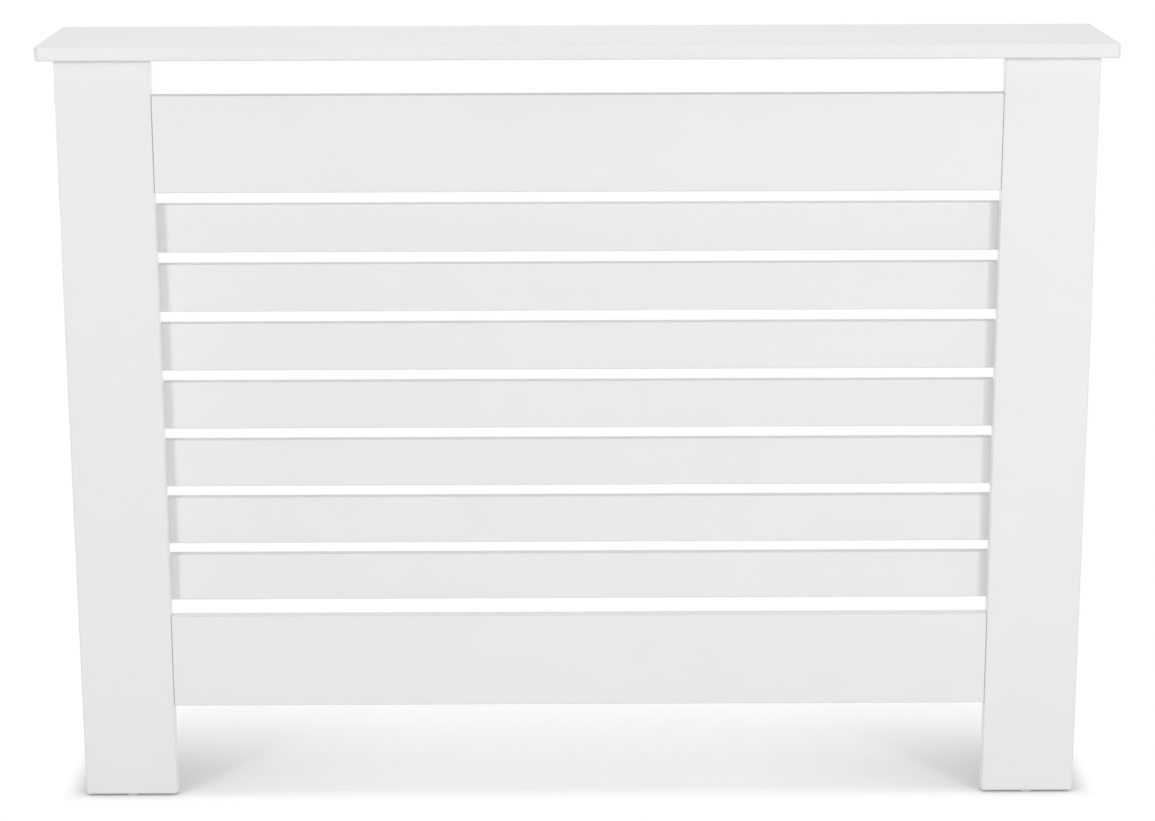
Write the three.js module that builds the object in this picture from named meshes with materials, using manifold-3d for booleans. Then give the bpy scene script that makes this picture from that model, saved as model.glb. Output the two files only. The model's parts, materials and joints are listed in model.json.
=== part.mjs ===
// Radiator cover cabinet: a white lacquered MDF housing that stands over a panel radiator.
//
// The front is a glued frame: two posts, a top rail and a bottom rail between them on dowels, and a
// grille of slats screwed to the backs of the posts. Two side panels and the top panel are added at
// home with cam fittings and dowels. Nylon glides carry the housing, and two angle brackets tie it
// to the wall.
//
// Millimetres, +Z up. X runs along the wall, the room is at -Y and the wall at +Y. The origin is on
// the floor, in the middle of the overall width and depth.

import * as THREE from 'three';
import { mergeVertices } from 'three/addons/utils/BufferGeometryUtils.js';
import Module from 'manifold-3d';

const wasm = await Module();
wasm.setup();

// ---------------------------------------------------------------- overall size
const OVERALL_WIDTH = 1115;
const OVERALL_DEPTH = 190;
const OVERALL_HEIGHT = 820;

// ---------------------------------------------------------------- boards
const TOP_THICKNESS = 15;
const TOP_SIDE_OVERHANG = 17;
const TOP_FRONT_OVERHANG = 14;
const TOP_CORNER_RADIUS = 6;
const POST_WIDTH = 100;
const POST_THICKNESS = 15;
const SIDE_THICKNESS = 15;
const RAIL_THICKNESS = 15;
const RAIL_HEIGHT = 101.5;
const INLET_HEIGHT = 104; // floor to the underside of the bottom rail
const OUTLET_HEIGHT = 37; // top of the top rail to the underside of the top panel
const BOARD_ARRIS = 2; // rounded edge of the top, posts and side panels
const BOARD_CORNER_RADIUS = 3;
const SKIRTING_HEIGHT = 110; // cut-out that clears the skirting board
const SKIRTING_DEPTH = 20;
const SKIRTING_CORNER_RADIUS = 6;

// ---------------------------------------------------------------- grille
const SLAT_COUNT = 7; // they share the height between the rails
const SLAT_THICKNESS = 12;
const SLAT_GAP = 12.5;
const SLAT_END_GAP = 14.5; // between a rail and the slat next to it
const SLAT_LAP = 30; // how far a slat's end reaches behind a post
const SLAT_ARRIS = 1.5;
const SLAT_CORNER_RADIUS = 2;

// ---------------------------------------------------------------- clearances
const SEAT_GAP = 0.3; // between faces that meet
const BORE_CLEARANCE = 0.3; // round a pin in its bore, on the radius
const BORE_END_CLEARANCE = 0.8; // past the end of a pin in a blind bore

// ---------------------------------------------------------------- dowels
const DOWEL_RADIUS = 3.9;
const DOWEL_LENGTH = 30;
const DOWEL_FLUTES = 8;
const DOWEL_FLUTE_DEPTH = 0.35;
const DOWEL_CHAMFER = 0.8;
const DOWEL_DEPTH_IN_FACE = 10; // into a board's face; the rest is in the edge of the other board
const DOWEL_INSET_ON_RAIL = 25; // from a rail's long edges

// ---------------------------------------------------------------- cam fittings
const CAM_RADIUS = 7.4;
const CAM_HEIGHT = 12;
const CAM_SETBACK = 34; // cam centre to the edge that it draws tight
const CAM_WALL = 1.7; // hooked wall, where it grips the bolt's head
const CAM_WALL_ENTRY = 1.1; // the same wall beside the entry hole, where the spiral starts
const CAM_TURN = 140; // degrees from the entry hole to the locked place
const CAM_PLAY = 0.4;
const CAM_RECESS_SPAN = 6;
const CAM_RECESS_ARM = 1.3;
const CAM_RECESS_DEPTH = 2.2;
const CAM_MARK_SIZE = 1.6;
const CAM_MARK_DEPTH = 0.4;
const BOLT_THREAD_RADIUS = 3;
const BOLT_THREAD_LENGTH = 10;
const BOLT_THREAD_TIP = 1.2;
const BOLT_SHANK_RADIUS = 3.5;
const BOLT_NECK_RADIUS = 1.8;
const BOLT_NECK_LENGTH = 6.5;
const BOLT_HEAD_RADIUS = 3.2;
const BOLT_HEAD_LENGTH = 3;
const BOLT_HEAD_CHAMFER = 0.7;
const CAM_INSET_ON_TOP = 50; // cams that hold the top, from the side panel's front and rear edges
const CAM_INSET_ON_POST = 140; // cams that hold the post, from the side panel's top and bottom
const CAM_TO_DOWEL = 32; // each cam has a dowel this far beside it

// ---------------------------------------------------------------- glides
const GLIDE_RADIUS = 7;
const GLIDE_HEIGHT = 2;
const GLIDE_EDGE_RADIUS = 0.8;
const GLIDE_PIN_RADIUS = 2.4;
const GLIDE_PIN_LENGTH = 14;
const GLIDE_PIN_TIP = 1;
const GLIDE_INSET_REAR = 25; // rear glide, in front of the skirting cut-out

// ---------------------------------------------------------------- wall brackets and their screws
const BRACKET_LEG = 30;
const BRACKET_WIDTH = 20;
const BRACKET_SHEET = 1.5;
const BRACKET_BEND_RADIUS = 3;
const BRACKET_CORNER_RADIUS = 4;
const BRACKET_DROP = 100; // top of the housing to the bracket's middle
const BRACKET_HOLE_RADIUS = 2.2;
const BRACKET_HOLE_PITCH = 12; // between the two holes of the leg on the side panel
const BRACKET_HOLE_INSET = 8; // last of them to the leg's end
const BRACKET_WALL_HOLE_RADIUS = 2.7;
const BRACKET_WALL_SLOT = 5; // extra length of the slotted hole in the wall leg
const SCREW_HEAD_RADIUS = 3.6;
const SCREW_HEAD_HEIGHT = 2.2;
const SCREW_HEAD_EDGE = 0.6;
const SCREW_SHANK_RADIUS = 1.6;
const SCREW_LENGTH = 12;
const SCREW_TIP = 3;
const SCREW_RECESS_SPAN = 3.8;
const SCREW_RECESS_ARM = 0.9;
const SCREW_RECESS_DEPTH = 1.4;

// ---------------------------------------------------------------- screw holes of the slats
const SLAT_SCREW_HOLE_RADIUS = 2;
const SLAT_SCREW_HEAD_RADIUS = 3.9;
const SLAT_SCREW_HEAD_DEPTH = 2.2;
const SLAT_SCREW_PILOT_RADIUS = 1.5;
const SLAT_SCREW_PILOT_DEPTH = 12;

// ---------------------------------------------------------------- fineness of the facets
const ARRIS_STEPS = 2;
const ARC_STEPS = 1;
const TOP_ARC_STEPS = 3;
const CAM_SIDES = 20;
const BOLT_SIDES = 10;
const BORE_SIDES = 12;
const SMALL_BORE_SIDES = 8;
const OVERCUT = 1; // how far a cutting solid stands out of the face that it opens

// ---------------------------------------------------------------- planes that the sizes lead to
const WALL_Y = OVERALL_DEPTH / 2;
const FRONT_Y = -OVERALL_DEPTH / 2 + TOP_FRONT_OVERHANG;
const POST_BACK_Y = FRONT_Y + POST_THICKNESS;
const SLAT_FRONT_Y = POST_BACK_Y + SEAT_GAP;
const SLAT_BACK_Y = SLAT_FRONT_Y + SLAT_THICKNESS;
const SIDE_FRONT_Y = POST_BACK_Y + SEAT_GAP;
const SKIRTING_Y = WALL_Y - SKIRTING_DEPTH;
const OUTER_X = OVERALL_WIDTH / 2 - TOP_SIDE_OVERHANG;
const OPENING_X = OUTER_X - POST_WIDTH;
const SIDE_INNER_X = OUTER_X - SIDE_THICKNESS;
const TOP_UNDERSIDE = OVERALL_HEIGHT - TOP_THICKNESS;
const BOARD_TOP = TOP_UNDERSIDE - SEAT_GAP;
const BOARD_BOTTOM = GLIDE_HEIGHT;
const BOTTOM_RAIL_Z = INLET_HEIGHT;
const TOP_RAIL_Z = TOP_UNDERSIDE - OUTLET_HEIGHT - RAIL_HEIGHT;
const GRILLE_HEIGHT = TOP_RAIL_Z - BOTTOM_RAIL_Z - RAIL_HEIGHT;
const SLAT_HEIGHT = (GRILLE_HEIGHT - 2 * SLAT_END_GAP - (SLAT_COUNT - 1) * SLAT_GAP) / SLAT_COUNT;
const SLAT_PITCH = SLAT_HEIGHT + SLAT_GAP;
const SLAT_SCREW_X = OPENING_X + SLAT_LAP / 2;
const BRACKET_Z = OVERALL_HEIGHT - BRACKET_DROP;
const BOLT_DEPTH = SIDE_THICKNESS / 2; // bolts run along the middle of the side panel's thickness

const SIDES = [{ name: 'left', sign: -1 }, { name: 'right', sign: 1 }];
const X_AXIS = new THREE.Vector3(1, 0, 0);
const Y_AXIS = new THREE.Vector3(0, 1, 0);
const Z_AXIS = new THREE.Vector3(0, 0, 1);

// ---------------------------------------------------------------- materials
const finish = (color, roughness, metalness) => () =>
  new THREE.MeshStandardMaterial({ color, roughness, metalness });
const whiteLacquer = finish('#f4f4f3', 0.42, 0);
const beech = finish('#d3ab77', 0.7, 0);
const zincCasting = finish('#a9acae', 0.45, 1);
const zincPlatedSteel = finish('#b9bdc1', 0.35, 1);
const whiteNylon = finish('#e9e8e3', 0.5, 0);

// ---------------------------------------------------------------- cutting
function toSolid(geometry) {
  const bare = geometry.clone();
  bare.deleteAttribute('normal');
  bare.deleteAttribute('uv');
  const merged = mergeVertices(bare);
  return new wasm.Manifold(new wasm.Mesh({
    numProp: 3,
    vertProperties: new Float32Array(merged.attributes.position.array),
    triVerts: new Uint32Array(merged.index.array),
  }));
}

function toGeometry(solid) {
  const { vertProperties, triVerts } = solid.getMesh();
  const geometry = new THREE.BufferGeometry();
  geometry.setAttribute('position', new THREE.BufferAttribute(vertProperties, 3));
  geometry.setIndex(new THREE.BufferAttribute(triVerts, 1));
  return geometry;
}

const cut = (geometry, tools) =>
  toGeometry(tools.reduce((solid, tool) => solid.subtract(toSolid(tool)), toSolid(geometry)));

// ---------------------------------------------------------------- outlines
function roundedRectangle(width, height, radius) {
  const x = width / 2 - radius;
  const y = height / 2 - radius;
  const shape = new THREE.Shape();
  shape.absarc(x, y, radius, 0, Math.PI / 2);
  shape.absarc(-x, y, radius, Math.PI / 2, Math.PI);
  shape.absarc(-x, -y, radius, Math.PI, Math.PI * 1.5);
  shape.absarc(x, -y, radius, Math.PI * 1.5, Math.PI * 2);
  return shape;
}

function crossOutline(span, arm) {
  const s = span / 2;
  const a = arm / 2;
  const quarter = [[s, -a], [s, a], [a, a]];
  const turns = [0, 1, 2, 3].map((n) => n * Math.PI / 2);
  const centre = new THREE.Vector2();
  return new THREE.Shape(turns.flatMap((turn) =>
    quarter.map(([x, y]) => new THREE.Vector2(x, y).rotateAround(centre, turn))));
}

// ---------------------------------------------------------------- basic solids
// A board of the given outline. It fills z = 0 to thickness, with the edges of both faces rounded.
function board(outline, thickness, arris, curveSegments = ARC_STEPS) {
  const geometry = new THREE.ExtrudeGeometry(outline, {
    depth: thickness - 2 * arris,
    curveSegments,
    bevelThickness: arris,
    bevelSize: arris,
    bevelOffset: -arris,
    bevelSegments: ARRIS_STEPS,
  });
  return geometry.translate(0, 0, arris);
}

function prism(outline, depth, curveSegments = ARC_STEPS) {
  return new THREE.ExtrudeGeometry(outline, { depth, curveSegments, bevelEnabled: false });
}

// A round solid about +Z from [radius, z] points that start and end on the axis, lowest first.
function turned(points, sides) {
  const profile = points.map(([radius, z]) => new THREE.Vector2(radius, z));
  return new THREE.LatheGeometry(profile, sides).rotateX(Math.PI / 2);
}

// A round cutting solid from one point to another.
function roundTool(from, to, radius, sides = BORE_SIDES) {
  const along = new THREE.Vector3().subVectors(to, from);
  const length = along.length();
  const turn = new THREE.Quaternion().setFromUnitVectors(Z_AXIS, along.normalize());
  const geometry = turned([[0, 0], [radius, 0], [radius, length], [0, length]], sides);
  return geometry.applyQuaternion(turn).translate(from.x, from.y, from.z);
}

// ---------------------------------------------------------------- placing and drilling
function piece(name, geometry, material, position, orientation) {
  const mesh = new THREE.Mesh(geometry, material());
  mesh.name = name;
  mesh.position.copy(position);
  if (orientation) mesh.quaternion.copy(orientation);
  mesh.updateMatrixWorld();
  return mesh;
}

const at = (x, y, z) => new THREE.Vector3(x, y, z);
const past = (point, direction, distance) => point.clone().addScaledVector(direction, distance);
const pointing = (direction) => new THREE.Quaternion().setFromUnitVectors(Z_AXIS, direction);
const facing = (xDirection, zDirection) => {
  const yDirection = new THREE.Vector3().crossVectors(zDirection, xDirection);
  const basis = new THREE.Matrix4().makeBasis(xDirection, yDirection, zDirection);
  return new THREE.Quaternion().setFromRotationMatrix(basis);
};
// An upright board: its outline's x runs along X and its y up, and its thickness runs to +Y or +X.
const ACROSS = facing(X_AXIS.clone().negate(), Y_AXIS);
const ENDWISE = facing(Y_AXIS, X_AXIS);

// Takes cutting solids that are given in the housing's frame out of a placed board.
function drill(mesh, tools) {
  const toLocal = mesh.matrixWorld.clone().invert();
  mesh.geometry = cut(mesh.geometry, tools.map((tool) => tool.applyMatrix4(toLocal)));
}

// A blind bore that opens at a face. inward points into the board.
function bore(mouth, inward, radius, depth, sides) {
  return roundTool(past(mouth, inward, -OVERCUT), past(mouth, inward, depth), radius, sides);
}

// ---------------------------------------------------------------- boards
function topPanel() {
  const outline = roundedRectangle(OVERALL_WIDTH, OVERALL_DEPTH, TOP_CORNER_RADIUS);
  const geometry = board(outline, TOP_THICKNESS, BOARD_ARRIS, TOP_ARC_STEPS);
  return piece('top_panel', geometry, whiteLacquer, at(0, 0, TOP_UNDERSIDE));
}

function frontPost({ name, sign }) {
  const height = BOARD_TOP - BOARD_BOTTOM;
  const outline = roundedRectangle(POST_WIDTH, height, BOARD_CORNER_RADIUS);
  const geometry = board(outline, POST_THICKNESS, BOARD_ARRIS);
  const place = at(sign * (OUTER_X - POST_WIDTH / 2), FRONT_Y, BOARD_BOTTOM + height / 2);
  return piece(`front_post_${name}`, geometry, whiteLacquer, place, ACROSS);
}

function rail(name, z) {
  const length = 2 * (OPENING_X - SEAT_GAP);
  const outline = roundedRectangle(RAIL_HEIGHT, RAIL_THICKNESS, SLAT_ARRIS);
  const geometry = prism(outline, length).translate(0, 0, -length / 2);
  const place = at(0, FRONT_Y + RAIL_THICKNESS / 2, z + RAIL_HEIGHT / 2);
  return piece(name, geometry, whiteLacquer, place, facing(Z_AXIS, X_AXIS));
}

function sidePanel({ name, sign }) {
  const depth = WALL_Y - SIDE_FRONT_Y;
  const height = BOARD_TOP - BOARD_BOTTOM;
  const notch = SKIRTING_HEIGHT - BOARD_BOTTOM;
  const r = BOARD_CORNER_RADIUS;
  const inner = SKIRTING_CORNER_RADIUS;
  const notchY = depth - SKIRTING_DEPTH;
  const outline = new THREE.Shape();
  outline.absarc(r, r, r, Math.PI, Math.PI * 1.5);
  outline.absarc(notchY - r, r, r, -Math.PI / 2, 0);
  outline.absarc(notchY + inner, notch - inner, inner, Math.PI, Math.PI / 2, true);
  outline.absarc(depth - r, notch + r, r, -Math.PI / 2, 0);
  outline.absarc(depth - r, height - r, r, 0, Math.PI / 2);
  outline.absarc(r, height - r, r, Math.PI / 2, Math.PI);
  const geometry = board(outline, SIDE_THICKNESS, BOARD_ARRIS);
  const x = sign > 0 ? SIDE_INNER_X : -OUTER_X;
  const place = at(x, SIDE_FRONT_Y, BOARD_BOTTOM);
  return piece(`side_panel_${name}`, geometry, whiteLacquer, place, ENDWISE);
}

// ---------------------------------------------------------------- grille
function slat(number, z) {
  const length = 2 * (OPENING_X + SLAT_LAP);
  const outline = roundedRectangle(length, SLAT_HEIGHT, SLAT_CORNER_RADIUS);
  const geometry = board(outline, SLAT_THICKNESS, SLAT_ARRIS);
  const mesh = piece(`slat_${number}`, geometry, whiteLacquer, at(0, SLAT_FRONT_Y, z), ACROSS);
  drill(mesh, SIDES.map(({ sign }) => slatScrewHole(at(sign * SLAT_SCREW_X, SLAT_BACK_Y, z))));
  return mesh;
}

// A through hole with a countersink on the slat's back.
function slatScrewHole(mouth) {
  const inward = Y_AXIS.clone().negate();
  const tool = turned([
    [0, -OVERCUT],
    [SLAT_SCREW_HEAD_RADIUS, -OVERCUT],
    [SLAT_SCREW_HEAD_RADIUS, 0],
    [SLAT_SCREW_HOLE_RADIUS, SLAT_SCREW_HEAD_DEPTH],
    [SLAT_SCREW_HOLE_RADIUS, SLAT_THICKNESS + OVERCUT],
    [0, SLAT_THICKNESS + OVERCUT],
  ], SMALL_BORE_SIDES);
  return tool.applyQuaternion(pointing(inward)).translate(mouth.x, mouth.y, mouth.z);
}

// Slats are numbered from the top.
function slatLevels() {
  const highest = TOP_RAIL_Z - SLAT_END_GAP - SLAT_HEIGHT / 2;
  return Array.from({ length: SLAT_COUNT }, (_, n) => highest - n * SLAT_PITCH);
}

// ---------------------------------------------------------------- dowel joints
function dowelGeometry() {
  const points = [];
  for (let n = 0; n < 2 * DOWEL_FLUTES; n += 1) {
    const radius = n % 2 ? DOWEL_RADIUS - DOWEL_FLUTE_DEPTH : DOWEL_RADIUS;
    const angle = n * Math.PI / DOWEL_FLUTES;
    points.push(new THREE.Vector2(radius * Math.cos(angle), radius * Math.sin(angle)));
  }
  const geometry = new THREE.ExtrudeGeometry(new THREE.Shape(points), {
    depth: DOWEL_LENGTH - 2 * DOWEL_CHAMFER,
    bevelThickness: DOWEL_CHAMFER,
    bevelSize: DOWEL_CHAMFER,
    bevelOffset: -DOWEL_CHAMFER,
    bevelSegments: 1,
  });
  return geometry.translate(0, 0, DOWEL_CHAMFER);
}

// Each dowel crosses the face where two boards meet: point lies on that face, direction points into
// the second board, and depth is how far the dowel reaches into it.
function dowelJoint(name, first, second, point, direction, depth) {
  return { name, first, second, point, direction, depth };
}

function dowel({ name, point, direction, depth }) {
  const start = past(point, direction, depth - DOWEL_LENGTH);
  return piece(`dowel_${name}`, dowelGeometry(), beech, start, pointing(direction));
}

function dowelBores({ first, second, point, direction, depth }) {
  const radius = DOWEL_RADIUS + BORE_CLEARANCE;
  const back = direction.clone().negate();
  const outer = DOWEL_LENGTH - depth + BORE_END_CLEARANCE;
  return [
    { board: first, tool: bore(point, back, radius, outer) },
    { board: second, tool: bore(point, direction, radius, depth + BORE_END_CLEARANCE) },
  ];
}

function dowelJoints() {
  const joints = [];
  const railDowelY = FRONT_Y + RAIL_THICKNESS / 2;
  const rails = [{ level: 'top', z: TOP_RAIL_Z }, { level: 'bottom', z: BOTTOM_RAIL_Z }];
  for (const { name, sign } of SIDES) {
    const outward = X_AXIS.clone().multiplyScalar(sign);
    const towardsPost = Y_AXIS.clone().negate();
    const panel = `side_panel_${name}`;
    const post = `front_post_${name}`;
    for (const { level, z } of rails) {
      const heights = { lower: z + DOWEL_INSET_ON_RAIL, upper: z + RAIL_HEIGHT - DOWEL_INSET_ON_RAIL };
      for (const [place, height] of Object.entries(heights)) {
        const point = at(sign * OPENING_X, railDowelY, height);
        const id = `${level}_rail_${name}_${place}`;
        joints.push(dowelJoint(id, `${level}_rail`, post, point, outward, DOWEL_LENGTH / 2));
      }
    }
    for (const { place, along, end } of topFixings()) {
      const point = at(sign * (OUTER_X - BOLT_DEPTH), along + end * CAM_TO_DOWEL, BOARD_TOP);
      const id = `top_${name}_${place}`;
      joints.push(dowelJoint(id, panel, 'top_panel', point, Z_AXIS.clone(), DOWEL_DEPTH_IN_FACE));
    }
    for (const { place, along, end } of postFixings()) {
      const point = at(sign * (OUTER_X - BOLT_DEPTH), SIDE_FRONT_Y, along + end * CAM_TO_DOWEL);
      const id = `post_${name}_${place}`;
      joints.push(dowelJoint(id, panel, post, point, towardsPost, DOWEL_DEPTH_IN_FACE));
    }
  }
  return joints;
}

// ---------------------------------------------------------------- cam fittings
// Where the cams sit along a side panel's edge. end is the way from a cam to its dowel.
function topFixings() {
  return [
    { place: 'front', along: SIDE_FRONT_Y + CAM_INSET_ON_TOP, end: -1 },
    { place: 'rear', along: WALL_Y - CAM_INSET_ON_TOP, end: 1 },
  ];
}

function postFixings() {
  return [
    { place: 'lower', along: BOARD_BOTTOM + CAM_INSET_ON_POST, end: -1 },
    { place: 'upper', along: BOARD_TOP - CAM_INSET_ON_POST, end: 1 },
  ];
}

// edge is the point of the side panel's edge that the bolt crosses, and draw points from the cam
// through it, into the board that is drawn tight.
function camJoints() {
  const joints = [];
  for (const { name, sign } of SIDES) {
    const x = sign * (OUTER_X - BOLT_DEPTH);
    const inward = X_AXIS.clone().multiplyScalar(-sign);
    const panel = `side_panel_${name}`;
    for (const { place, along } of topFixings()) {
      const edge = at(x, along, BOARD_TOP);
      joints.push({ name: `top_${name}_${place}`, panel, drawn: 'top_panel', edge, draw: Z_AXIS, inward });
    }
    for (const { place, along } of postFixings()) {
      const edge = at(x, SIDE_FRONT_Y, along);
      const draw = Y_AXIS.clone().negate();
      joints.push({ name: `post_${name}_${place}`, panel, drawn: `front_post_${name}`, edge, draw, inward });
    }
  }
  return joints;
}

// A die-cast drum about +Z, its driven face at z = 0. The bolt comes in along +X at the locked place.
// The head rides in a spiral pocket behind a hooked wall, the neck in a slot through that wall, and
// the head enters by a round hole at the slot's far end.
function camGeometry() {
  const boltZ = SEAT_GAP - BOLT_DEPTH;
  const turn = THREE.MathUtils.degToRad(CAM_TURN);
  const headRoom = BOLT_HEAD_RADIUS + CAM_PLAY;
  const neckRoom = BOLT_NECK_RADIUS + CAM_PLAY;
  const drum = turned([[0, -CAM_HEIGHT], [CAM_RADIUS, -CAM_HEIGHT], [CAM_RADIUS, 0], [0, 0]], CAM_SIDES);
  const entryEnd = at(Math.cos(turn), Math.sin(turn), 0).multiplyScalar(CAM_RADIUS + OVERCUT);
  entryEnd.z = boltZ;
  const entry = roundTool(at(0, 0, boltZ), entryEnd, headRoom);
  const recess = prism(crossOutline(CAM_RECESS_SPAN, CAM_RECESS_ARM), CAM_RECESS_DEPTH + OVERCUT);
  return cut(drum, [
    headPocket(turn, headRoom).translate(0, 0, boltZ),
    neckSlot(turn, neckRoom).translate(0, 0, boltZ),
    entry,
    recess.translate(0, 0, -CAM_RECESS_DEPTH),
    entryMark(turn),
  ]);
}

// The pocket's radius grows from the locked place to the entry hole, which is what draws the bolt in.
function headPocket(turn, headRoom) {
  const lead = Math.atan2(headRoom, CAM_RADIUS - CAM_WALL - BOLT_HEAD_LENGTH - CAM_PLAY);
  const points = [new THREE.Vector2(-CAM_PLAY, -CAM_PLAY)];
  const steps = CAM_SIDES / 2;
  for (let n = 0; n <= steps; n += 1) {
    const angle = THREE.MathUtils.lerp(-lead, turn + lead, n / steps);
    const growth = THREE.MathUtils.clamp(angle / turn, 0, 1);
    const radius = CAM_RADIUS - THREE.MathUtils.lerp(CAM_WALL, CAM_WALL_ENTRY, growth);
    points.push(new THREE.Vector2(radius * Math.cos(angle), radius * Math.sin(angle)));
  }
  return prism(new THREE.Shape(points), 2 * headRoom).translate(0, 0, -headRoom);
}

function neckSlot(turn, neckRoom) {
  const inner = CAM_RADIUS - 2 * CAM_WALL;
  const outer = CAM_RADIUS + OVERCUT;
  const lead = Math.atan2(neckRoom, inner);
  const sector = new THREE.Shape();
  sector.absarc(0, 0, outer, -lead, turn);
  sector.absarc(0, 0, inner, turn, -lead, true);
  return prism(sector, 2 * neckRoom, CAM_SIDES / 4).translate(0, 0, -neckRoom);
}

// A small triangle on the driven face points to the entry hole.
function entryMark(turn) {
  const tip = CAM_RADIUS - CAM_MARK_SIZE / 2;
  const base = tip - CAM_MARK_SIZE;
  const outline = new THREE.Shape([
    new THREE.Vector2(tip, 0),
    new THREE.Vector2(base, CAM_MARK_SIZE / 2),
    new THREE.Vector2(base, -CAM_MARK_SIZE / 2),
  ]);
  return prism(outline, CAM_MARK_DEPTH + OVERCUT).translate(0, 0, -CAM_MARK_DEPTH).rotateZ(turn);
}

function cam({ name, edge, draw, inward }) {
  const axis = past(edge, draw, -CAM_SETBACK);
  const place = past(axis, inward, BOLT_DEPTH - SEAT_GAP);
  return piece(`cam_${name}`, camGeometry(), zincCasting, place, facing(draw, inward));
}

// The bolt stands on the drawn board's face at z = 0, its thread below and its head in the cam.
function boltGeometry() {
  const neckEnd = CAM_SETBACK + SEAT_GAP - headSeat();
  const neckStart = neckEnd - BOLT_NECK_LENGTH;
  const headEnd = neckEnd + BOLT_HEAD_LENGTH;
  return turned([
    [0, -BOLT_THREAD_LENGTH],
    [BOLT_THREAD_RADIUS - BOLT_THREAD_TIP, -BOLT_THREAD_LENGTH],
    [BOLT_THREAD_RADIUS, BOLT_THREAD_TIP - BOLT_THREAD_LENGTH],
    [BOLT_THREAD_RADIUS, 0],
    [BOLT_SHANK_RADIUS, 0],
    [BOLT_SHANK_RADIUS, neckStart],
    [BOLT_NECK_RADIUS, neckStart],
    [BOLT_NECK_RADIUS, neckEnd],
    [BOLT_HEAD_RADIUS, neckEnd],
    [BOLT_HEAD_RADIUS, headEnd - BOLT_HEAD_CHAMFER],
    [BOLT_HEAD_RADIUS - BOLT_HEAD_CHAMFER, headEnd],
    [0, headEnd],
  ], BOLT_SIDES);
}

// Distance from the cam's axis to the underside of the head when the hooked wall grips its rim.
function headSeat() {
  const wall = CAM_RADIUS - CAM_WALL - SEAT_GAP;
  return Math.sqrt(wall ** 2 - BOLT_HEAD_RADIUS ** 2);
}

function bolt({ name, edge, draw }) {
  const foot = past(edge, draw, SEAT_GAP);
  return piece(`cam_bolt_${name}`, boltGeometry(), zincPlatedSteel, foot, pointing(draw.clone().negate()));
}

function camBores({ panel, drawn, edge, draw, inward }) {
  const axis = past(edge, draw, -CAM_SETBACK);
  const camMouth = past(axis, inward, BOLT_DEPTH);
  const intoPanel = draw.clone().negate();
  const intoBoard = inward.clone().negate();
  const camDepth = CAM_HEIGHT + 2 * SEAT_GAP;
  const threadDepth = BOLT_THREAD_LENGTH + BORE_END_CLEARANCE;
  return [
    { board: panel, tool: bore(camMouth, intoBoard, CAM_RADIUS + BORE_CLEARANCE, camDepth, CAM_SIDES) },
    { board: panel, tool: bore(edge, intoPanel, BOLT_SHANK_RADIUS + BORE_CLEARANCE, CAM_SETBACK) },
    { board: drawn, tool: bore(edge, draw, BOLT_THREAD_RADIUS + BORE_CLEARANCE, threadDepth) },
  ];
}

// ---------------------------------------------------------------- glides
function glideGeometry() {
  const neck = GLIDE_HEIGHT - SEAT_GAP;
  const tip = neck + GLIDE_PIN_LENGTH;
  return turned([
    [0, 0],
    [GLIDE_RADIUS - GLIDE_EDGE_RADIUS, 0],
    [GLIDE_RADIUS, GLIDE_EDGE_RADIUS],
    [GLIDE_RADIUS, neck],
    [GLIDE_PIN_RADIUS, neck],
    [GLIDE_PIN_RADIUS, tip - GLIDE_PIN_TIP],
    [GLIDE_PIN_RADIUS - GLIDE_PIN_TIP, tip],
    [0, tip],
  ], BORE_SIDES);
}

function glidePlaces() {
  return SIDES.flatMap(({ name, sign }) => {
    const post = at(sign * (OUTER_X - POST_WIDTH / 2), FRONT_Y + POST_THICKNESS / 2, 0);
    const panel = at(sign * (OUTER_X - SIDE_THICKNESS / 2), SKIRTING_Y - GLIDE_INSET_REAR, 0);
    return [
      { name: `front_${name}`, board: `front_post_${name}`, point: post },
      { name: `rear_${name}`, board: `side_panel_${name}`, point: panel },
    ];
  });
}

function glide({ name, point }) {
  return piece(`glide_${name}`, glideGeometry(), whiteNylon, point);
}

function glideBore({ board, point }) {
  const mouth = past(point, Z_AXIS, BOARD_BOTTOM);
  const depth = GLIDE_PIN_LENGTH + BORE_END_CLEARANCE;
  return { board, tool: bore(mouth, Z_AXIS, GLIDE_PIN_RADIUS + BORE_CLEARANCE, depth) };
}

// ---------------------------------------------------------------- wall brackets
// An angle of bent sheet. Its corner is at the origin, one leg runs along +X against the wall and
// the other along +Y against the side panel, and its width is centred on z = 0.
function bracketGeometry() {
  const r = BRACKET_BEND_RADIUS;
  const t = BRACKET_SHEET;
  const profile = new THREE.Shape();
  profile.moveTo(BRACKET_LEG, 0);
  profile.lineTo(BRACKET_LEG, t);
  profile.absarc(r, r, r - t, Math.PI * 1.5, Math.PI, true);
  profile.lineTo(t, BRACKET_LEG);
  profile.lineTo(0, BRACKET_LEG);
  profile.absarc(r, r, r, Math.PI, Math.PI * 1.5);
  const bent = prism(profile, BRACKET_WIDTH).translate(0, 0, -BRACKET_WIDTH / 2);
  const legHoles = bracketHoleReaches().map((reach) =>
    roundTool(at(-OVERCUT, reach, 0), at(t + OVERCUT, reach, 0), BRACKET_HOLE_RADIUS));
  const slotOutline = roundedRectangle(
    2 * BRACKET_WALL_HOLE_RADIUS + BRACKET_WALL_SLOT, 2 * BRACKET_WALL_HOLE_RADIUS, BRACKET_WALL_HOLE_RADIUS);
  const slot = prism(slotOutline, t + 2 * OVERCUT).rotateX(Math.PI / 2);
  slot.translate(BRACKET_LEG / 2 + r, t + OVERCUT, 0);
  return cut(bent, [...legHoles, slot, ...bracketCorners()]);
}

function bracketHoleReaches() {
  const last = BRACKET_LEG - BRACKET_HOLE_INSET;
  return [last - BRACKET_HOLE_PITCH, last];
}

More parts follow.
